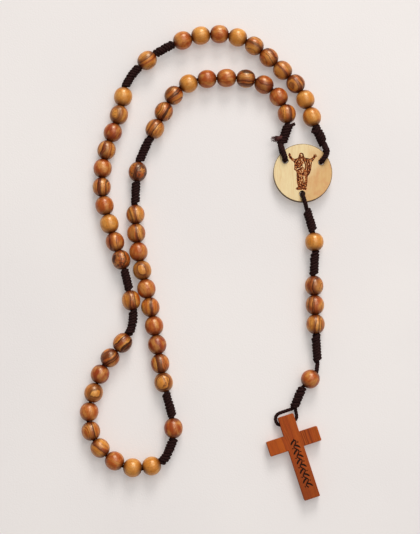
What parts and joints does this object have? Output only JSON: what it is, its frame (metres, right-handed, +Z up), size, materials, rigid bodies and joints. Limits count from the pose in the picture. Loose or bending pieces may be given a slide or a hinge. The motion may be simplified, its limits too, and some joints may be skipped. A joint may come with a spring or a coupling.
{
  "type": "rosary",
  "caption": "Rosary of turned wooden beads on a knotted brown cord, with a round wooden medal and a wooden cross, laid flat",
  "frame": {"origin": "on the surface that the rosary lies on, under the middle of its outline", "axes": "+Z up from the surface, +Y along the rosary's length from the cross towards the loop's top, +X towards the medal's side"},
  "size_m": [0.1077, 0.2047, 0.0079],
  "materials": {
    "bead_wood": "satin polished, streaked grain from golden tan to red brown",
    "medal_wood": "smooth raw pale wood with a burned edge and burned engraving",
    "cross_wood": "oiled red-brown wood with darker grain and a burned ornament",
    "cord": "twisted dark brown cord, matt"
  },
  "bodies": {
    "loop": {"loop_cord": "cord"},
    "medal": {"medal": "medal_wood", "medal_cord_loop_left": "cord", "medal_cord_loop_right": "cord"},
    "pendant_upper": {"pendant_cord_upper": "cord"},
    "pendant_lower": {"pendant_cord_lower": "cord"},
    "cross": {"cross": "cross_wood"},
    "decade_1_bead_01": {"decade_1_bead_01": "bead_wood"},
    "decade_1_bead_02": {"decade_1_bead_02": "bead_wood"},
    "decade_1_bead_03": {"decade_1_bead_03": "bead_wood"},
    "decade_1_bead_04": {"decade_1_bead_04": "bead_wood"},
    "decade_1_bead_07": {"decade_1_bead_07": "bead_wood"},
    "decade_1_bead_08": {"decade_1_bead_08": "bead_wood"},
    "decade_1_bead_09": {"decade_1_bead_09": "bead_wood"},
    "decade_1_bead_10": {"decade_1_bead_10": "bead_wood"},
    "decade_1_beads_05_06": {"decade_1_beads_05_06": "bead_wood"},
    "decade_2_bead_01": {"decade_2_bead_01": "bead_wood"},
    "decade_2_bead_02": {"decade_2_bead_02": "bead_wood"},
    "decade_2_bead_03": {"decade_2_bead_03": "bead_wood"},
    "decade_2_bead_04": {"decade_2_bead_04": "bead_wood"},
    "decade_2_bead_07": {"decade_2_bead_07": "bead_wood"},
    "decade_2_bead_10": {"decade_2_bead_10": "bead_wood"},
    "decade_2_beads_05_06": {"decade_2_beads_05_06": "bead_wood"},
    "decade_2_beads_08_09": {"decade_2_beads_08_09": "bead_wood"},
    "decade_3_bead_01": {"decade_3_bead_01": "bead_wood"},
    "decade_3_bead_02": {"decade_3_bead_02": "bead_wood"},
    "decade_3_bead_03": {"decade_3_bead_03": "bead_wood"},
    "decade_3_bead_04": {"decade_3_bead_04": "bead_wood"},
    "decade_3_bead_05": {"decade_3_bead_05": "bead_wood"},
    "decade_3_bead_06": {"decade_3_bead_06": "bead_wood"},
    "decade_3_bead_09": {"decade_3_bead_09": "bead_wood"},
    "decade_3_bead_10": {"decade_3_bead_10": "bead_wood"},
    "decade_3_beads_07_08": {"decade_3_beads_07_08": "bead_wood"},
    "decade_4_bead_01": {"decade_4_bead_01": "bead_wood"},
    "decade_4_bead_02": {"decade_4_bead_02": "bead_wood"},
    "decade_4_bead_05": {"decade_4_bead_05": "bead_wood"},
    "decade_4_bead_06": {"decade_4_bead_06": "bead_wood"},
    "decade_4_bead_07": {"decade_4_bead_07": "bead_wood"},
    "decade_4_bead_08": {"decade_4_bead_08": "bead_wood"},
    "decade_4_bead_09": {"decade_4_bead_09": "bead_wood"},
    "decade_4_bead_10": {"decade_4_bead_10": "bead_wood"},
    "decade_4_beads_03_04": {"decade_4_beads_03_04": "bead_wood"},
    "decade_5_bead_01": {"decade_5_bead_01": "bead_wood"},
    "decade_5_bead_02": {"decade_5_bead_02": "bead_wood"},
    "decade_5_bead_03": {"decade_5_bead_03": "bead_wood"},
    "decade_5_bead_04": {"decade_5_bead_04": "bead_wood"},
    "decade_5_bead_05": {"decade_5_bead_05": "bead_wood"},
    "decade_5_bead_08": {"decade_5_bead_08": "bead_wood"},
    "decade_5_bead_09": {"decade_5_bead_09": "bead_wood"},
    "decade_5_bead_10": {"decade_5_bead_10": "bead_wood"},
    "decade_5_beads_06_07": {"decade_5_beads_06_07": "bead_wood"},
    "our_father_bead_1": {"our_father_bead_1": "bead_wood"},
    "our_father_bead_2": {"our_father_bead_2": "bead_wood"},
    "our_father_bead_3": {"our_father_bead_3": "bead_wood"},
    "our_father_bead_4": {"our_father_bead_4": "bead_wood"},
    "pendant_hail_mary_bead_1": {"pendant_hail_mary_bead_1": "bead_wood"},
    "pendant_hail_mary_bead_2": {"pendant_hail_mary_bead_2": "bead_wood"},
    "pendant_hail_mary_bead_3": {"pendant_hail_mary_bead_3": "bead_wood"},
    "pendant_lower_bead": {"pendant_lower_bead": "bead_wood"},
    "pendant_upper_bead": {"pendant_upper_bead": "bead_wood"}
  },
  "joints": [
    {"name": "cross_swing", "type": "hinge", "parent": "pendant_lower", "child": "cross", "pos_m": [0.03405, -0.06995, 0.0025], "axis": [-0.9521, -0.3057, 0], "range_deg": [0, 110]},
    {"name": "medal_tilt", "type": "hinge", "parent": "loop", "child": "medal", "pos_m": [0.0413, 0.04835, 0.0031], "axis": [-1, 0.0053, 0], "range_deg": [0, 45]},
    {"name": "pendant_bend", "type": "hinge", "parent": "pendant_upper", "child": "pendant_lower", "pos_m": [0.0468, -0.0455, 0.00395], "axis": [0, 0, 1], "range_deg": [-20, 45]},
    {"name": "pendant_swing", "type": "hinge", "parent": "medal", "child": "pendant_upper", "pos_m": [0.04088, 0.02781, 0.0031], "axis": [0, 0, 1], "range_deg": [-15, 30]},
    {"name": "spin_decade_1_bead_01", "type": "hinge", "parent": "loop", "child": "decade_1_bead_01", "pos_m": [0.03447, 0.06293, 0.00397], "axis": [-0.199, 0.98, -0.0053], "continuous": true},
    {"name": "spin_decade_1_bead_02", "type": "hinge", "parent": "loop", "child": "decade_1_bead_02", "pos_m": [0.03099, 0.07041, 0.00395], "axis": [-0.6221, 0.7829, 0], "continuous": true},
    {"name": "spin_decade_1_bead_03", "type": "hinge", "parent": "loop", "child": "decade_1_bead_03", "pos_m": [0.02468, 0.07586, 0.00395], "axis": [-0.8651, 0.5016, 0], "continuous": true},
    {"name": "spin_decade_1_bead_04", "type": "hinge", "parent": "loop", "child": "decade_1_bead_04", "pos_m": [0.01681, 0.07852, 0.00395], "axis": [-0.9919, 0.1267, 0], "continuous": true},
    {"name": "spin_decade_1_bead_07", "type": "hinge", "parent": "loop", "child": "decade_1_bead_07", "pos_m": [-0.00817, 0.07633, 0.00395], "axis": [-0.9044, -0.4267, 0], "continuous": true},
    {"name": "spin_decade_1_bead_08", "type": "hinge", "parent": "loop", "child": "decade_1_bead_08", "pos_m": [-0.01454, 0.07113, 0.00395], "axis": [-0.5984, -0.8012, 0], "continuous": true},
    {"name": "spin_decade_1_bead_09", "type": "hinge", "parent": "loop", "child": "decade_1_bead_09", "pos_m": [-0.01885, 0.06388, 0.00395], "axis": [-0.4189, -0.908, 0], "continuous": true},
    {"name": "spin_decade_1_bead_10", "type": "hinge", "parent": "loop", "child": "decade_1_bead_10", "pos_m": [-0.02265, 0.0563, 0.00395], "axis": [-0.4774, -0.8787, 0], "continuous": true},
    {"name": "spin_decade_1_beads_05_06", "type": "hinge", "parent": "loop", "child": "decade_1_beads_05_06", "pos_m": [0.00414, 0.0786, 0.00395], "axis": [-0.9985, -0.054, 0], "continuous": true},
    {"name": "spin_decade_2_bead_01", "type": "hinge", "parent": "loop", "child": "decade_2_bead_01", "pos_m": [-0.03085, 0.01888, 0.00395], "axis": [0.0167, -0.9999, 0], "continuous": true},
    {"name": "spin_decade_2_bead_02", "type": "hinge", "parent": "loop", "child": "decade_2_bead_02", "pos_m": [-0.03046, 0.01077, 0.00395], "axis": [0.0808, -0.9967, 0], "continuous": true},
    {"name": "spin_decade_2_bead_03", "type": "hinge", "parent": "loop", "child": "decade_2_bead_03", "pos_m": [-0.02947, 0.00272, 0.00395], "axis": [0.1635, -0.9865, 0], "continuous": true},
    {"name": "spin_decade_2_bead_04", "type": "hinge", "parent": "loop", "child": "decade_2_bead_04", "pos_m": [-0.02784, -0.00523, 0.00395], "axis": [0.2369, -0.9715, 0], "continuous": true},
    {"name": "spin_decade_2_bead_07", "type": "hinge", "parent": "loop", "child": "decade_2_bead_07", "pos_m": [-0.02264, -0.02902, 0.00395], "axis": [0.1794, -0.9838, 0], "continuous": true},
    {"name": "spin_decade_2_bead_10", "type": "hinge", "parent": "loop", "child": "decade_2_bead_10", "pos_m": [-0.01848, -0.05302, 0.00395], "axis": [0.21, -0.9777, 0], "continuous": true},
    {"name": "spin_decade_2_beads_05_06", "type": "hinge", "parent": "loop", "child": "decade_2_beads_05_06", "pos_m": [-0.02512, -0.0171, 0.00395], "axis": [0.2164, -0.9763, 0], "continuous": true},
    {"name": "spin_decade_2_beads_08_09", "type": "hinge", "parent": "loop", "child": "decade_2_beads_08_09", "pos_m": [-0.02062, -0.04103, 0.00395], "axis": [0.1585, -0.9874, 0], "continuous": true},
    {"name": "spin_decade_3_bead_01", "type": "hinge", "parent": "loop", "child": "decade_3_bead_01", "pos_m": [-0.02339, -0.08806, 0.00395], "axis": [-0.9453, -0.3261, 0], "continuous": true},
    {"name": "spin_decade_3_bead_02", "type": "hinge", "parent": "loop", "child": "decade_3_bead_02", "pos_m": [-0.03139, -0.08878, 0.00395], "axis": [-0.9885, 0.1515, 0], "continuous": true},
    {"name": "spin_decade_3_bead_03", "type": "hinge", "parent": "loop", "child": "decade_3_bead_03", "pos_m": [-0.03899, -0.08595, 0.00395], "axis": [-0.8471, 0.5314, 0], "continuous": true},
    {"name": "spin_decade_3_bead_04", "type": "hinge", "parent": "loop", "child": "decade_3_bead_04", "pos_m": [-0.04516, -0.08058, 0.00395], "axis": [-0.6413, 0.7673, 0], "continuous": true},
    {"name": "spin_decade_3_bead_05", "type": "hinge", "parent": "loop", "child": "decade_3_bead_05", "pos_m": [-0.0491, -0.07347, 0.00395], "axis": [-0.3123, 0.95, 0], "continuous": true},
    {"name": "spin_decade_3_bead_06", "type": "hinge", "parent": "loop", "child": "decade_3_bead_06", "pos_m": [-0.04992, -0.06542, 0.00395], "axis": [0.1152, 0.9933, 0], "continuous": true},
    {"name": "spin_decade_3_bead_09", "type": "hinge", "parent": "loop", "child": "decade_3_bead_09", "pos_m": [-0.04129, -0.04261, 0.00395], "axis": [0.6848, 0.7287, 0], "continuous": true},
    {"name": "spin_decade_3_bead_10", "type": "hinge", "parent": "loop", "child": "decade_3_bead_10", "pos_m": [-0.03599, -0.03626, 0.00395], "axis": [0.5934, 0.8049, 0], "continuous": true},
    {"name": "spin_decade_3_beads_07_08", "type": "hinge", "parent": "loop", "child": "decade_3_beads_07_08", "pos_m": [-0.04678, -0.05347, 0.00395], "axis": [0.3213, 0.947, 0], "continuous": true},
    {"name": "spin_decade_4_bead_01", "type": "hinge", "parent": "loop", "child": "decade_4_bead_01", "pos_m": [-0.03687, -0.00072, 0.00395], "axis": [-0.2996, 0.9541, 0], "continuous": true},
    {"name": "spin_decade_4_bead_02", "type": "hinge", "parent": "loop", "child": "decade_4_bead_02", "pos_m": [-0.03954, 0.00704, 0.00395], "axis": [-0.3498, 0.9368, 0], "continuous": true},
    {"name": "spin_decade_4_bead_05", "type": "hinge", "parent": "loop", "child": "decade_4_bead_05", "pos_m": [-0.04546, 0.03081, 0.00395], "axis": [-0.054, 0.9985, 0], "continuous": true},
    {"name": "spin_decade_4_bead_06", "type": "hinge", "parent": "loop", "child": "decade_4_bead_06", "pos_m": [-0.04514, 0.03897, 0.00395], "axis": [0.1312, 0.9914, 0], "continuous": true},
    {"name": "spin_decade_4_bead_07", "type": "hinge", "parent": "loop", "child": "decade_4_bead_07", "pos_m": [-0.04352, 0.04699, 0.00395], "axis": [0.2637, 0.9646, 0], "continuous": true},
    {"name": "spin_decade_4_bead_08", "type": "hinge", "parent": "loop", "child": "decade_4_bead_08", "pos_m": [-0.04087, 0.05473, 0.00395], "axis": [0.3829, 0.9238, 0], "continuous": true},
    {"name": "spin_decade_4_bead_09", "type": "hinge", "parent": "loop", "child": "decade_4_bead_09", "pos_m": [-0.03828, 0.06249, 0.00395], "axis": [0.2477, 0.9688, 0], "continuous": true},
    {"name": "spin_decade_4_bead_10", "type": "hinge", "parent": "loop", "child": "decade_4_bead_10", "pos_m": [-0.0365, 0.07049, 0.00395], "axis": [0.1861, 0.9825, 0], "continuous": true},
    {"name": "spin_decade_4_beads_03_04", "type": "hinge", "parent": "loop", "child": "decade_4_beads_03_04", "pos_m": [-0.0431, 0.0188, 0.00395], "axis": [-0.2599, 0.9656, 0], "continuous": true},
    {"name": "spin_decade_5_bead_01", "type": "hinge", "parent": "loop", "child": "decade_5_bead_01", "pos_m": [-0.01072, 0.09554, 0.00395], "axis": [0.9362, 0.3515, 0], "continuous": true},
    {"name": "spin_decade_5_bead_02", "type": "hinge", "parent": "loop", "child": "decade_5_bead_02", "pos_m": [-0.00283, 0.09772, 0.00395], "axis": [0.9837, 0.1797, 0], "continuous": true},
    {"name": "spin_decade_5_bead_03", "type": "hinge", "parent": "loop", "child": "decade_5_bead_03", "pos_m": [0.00532, 0.09836, 0.00395], "axis": [0.9997, -0.0236, 0], "continuous": true},
    {"name": "spin_decade_5_bead_04", "type": "hinge", "parent": "loop", "child": "decade_5_bead_04", "pos_m": [0.01331, 0.09689, 0.00395], "axis": [0.9428, -0.3334, 0], "continuous": true},
    {"name": "spin_decade_5_bead_05", "type": "hinge", "parent": "loop", "child": "decade_5_bead_05", "pos_m": [0.02051, 0.09312, 0.00395], "axis": [0.8107, -0.5855, 0], "continuous": true},
    {"name": "spin_decade_5_bead_08", "type": "hinge", "parent": "loop", "child": "decade_5_bead_08", "pos_m": [0.03839, 0.07623, 0.00395], "axis": [0.6368, -0.771, 0], "continuous": true},
    {"name": "spin_decade_5_bead_09", "type": "hinge", "parent": "loop", "child": "decade_5_bead_09", "pos_m": [0.04259, 0.06927, 0.00395], "axis": [0.385, -0.9229, 0], "continuous": true},
    {"name": "spin_decade_5_bead_10", "type": "hinge", "parent": "loop", "child": "decade_5_bead_10", "pos_m": [0.04534, 0.06153, 0.00395], "axis": [0.2848, -0.9586, 0.0006], "continuous": true},
    {"name": "spin_decade_5_beads_06_07", "type": "hinge", "parent": "loop", "child": "decade_5_beads_06_07", "pos_m": [0.02981, 0.08506, 0.00395], "axis": [0.7257, -0.6881, 0], "continuous": true},
    {"name": "spin_our_father_bead_1", "type": "hinge", "parent": "loop", "child": "our_father_bead_1", "pos_m": [-0.03, 0.03749, 0.00395], "axis": [-0.1437, -0.9896, 0], "continuous": true},
    {"name": "spin_our_father_bead_2", "type": "hinge", "parent": "loop", "child": "our_father_bead_2", "pos_m": [-0.01426, -0.07225, 0.00395], "axis": [0.0522, -0.9986, 0], "continuous": true},
    {"name": "spin_our_father_bead_3", "type": "hinge", "parent": "loop", "child": "our_father_bead_3", "pos_m": [-0.03245, -0.01815, 0.00395], "axis": [-0.1788, 0.9839, 0], "continuous": true},
    {"name": "spin_our_father_bead_4", "type": "hinge", "parent": "loop", "child": "our_father_bead_4", "pos_m": [-0.02618, 0.08662, 0.00395], "axis": [0.772, 0.6356, 0], "continuous": true},
    {"name": "spin_pendant_hail_mary_bead_1", "type": "hinge", "parent": "pendant_upper", "child": "pendant_hail_mary_bead_1", "pos_m": [0.0457, -0.01185, 0.00395], "axis": [0.0241, -0.9997, 0], "continuous": true},
    {"name": "spin_pendant_hail_mary_bead_2", "type": "hinge", "parent": "pendant_upper", "child": "pendant_hail_mary_bead_2", "pos_m": [0.04595, -0.0201, 0.00395], "axis": [0.0366, -0.9993, 0], "continuous": true},
    {"name": "spin_pendant_hail_mary_bead_3", "type": "hinge", "parent": "pendant_upper", "child": "pendant_hail_mary_bead_3", "pos_m": [0.04615, -0.0283, 0.00395], "axis": [0.0122, -0.9999, 0], "continuous": true},
    {"name": "spin_pendant_lower_bead", "type": "hinge", "parent": "pendant_lower", "child": "pendant_lower_bead", "pos_m": [0.04375, -0.0516, 0.00395], "axis": [-0.6887, -0.725, 0], "continuous": true},
    {"name": "spin_pendant_upper_bead", "type": "hinge", "parent": "pendant_upper", "child": "pendant_upper_bead", "pos_m": [0.04595, 0.007, 0.00395], "axis": [0.0624, -0.9981, 0], "continuous": true}
  ]
}
